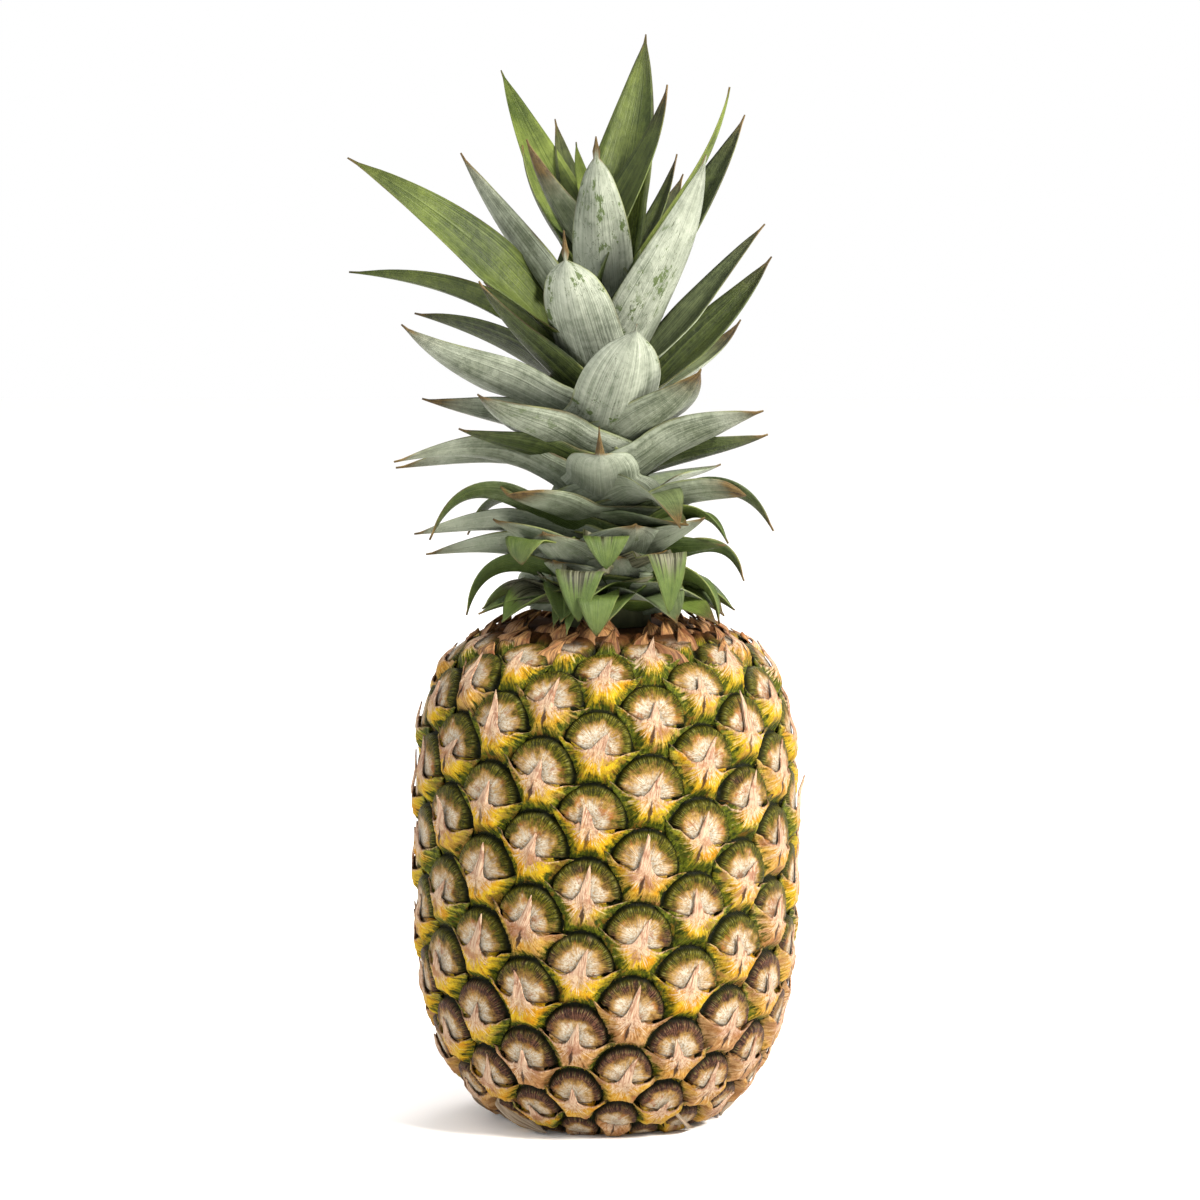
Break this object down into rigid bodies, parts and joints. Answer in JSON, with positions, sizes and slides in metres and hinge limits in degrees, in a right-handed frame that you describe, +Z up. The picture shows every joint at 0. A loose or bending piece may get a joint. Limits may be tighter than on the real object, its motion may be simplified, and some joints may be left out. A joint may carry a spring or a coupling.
{
  "type": "pineapple",
  "caption": "Whole fresh pineapple standing on its base: barrel-shaped fruit with spiralling spined eyes, a cut stalk below and a crown of stiff pointed leaves.",
  "frame": {"origin": "centre of the flat spot under the fruit, on the surface that it stands on", "axes": "+Z up along the fruit's axis through the crown, -Y towards the side that the picture shows, +X to the right in it"},
  "size_m": [0.1519, 0.1325, 0.362],
  "materials": {
    "rind": "dry waxy rind, yellow-green and tan with dark green grooves",
    "cut_stalk": "dry fibrous cut stalk",
    "leaf": "stiff waxy leaf with a grey-green bloom"
  },
  "bodies": {
    "root": {"fruit": "rind", "stalk": "cut_stalk", "crown": "leaf"}
  },
  "joints": []
}
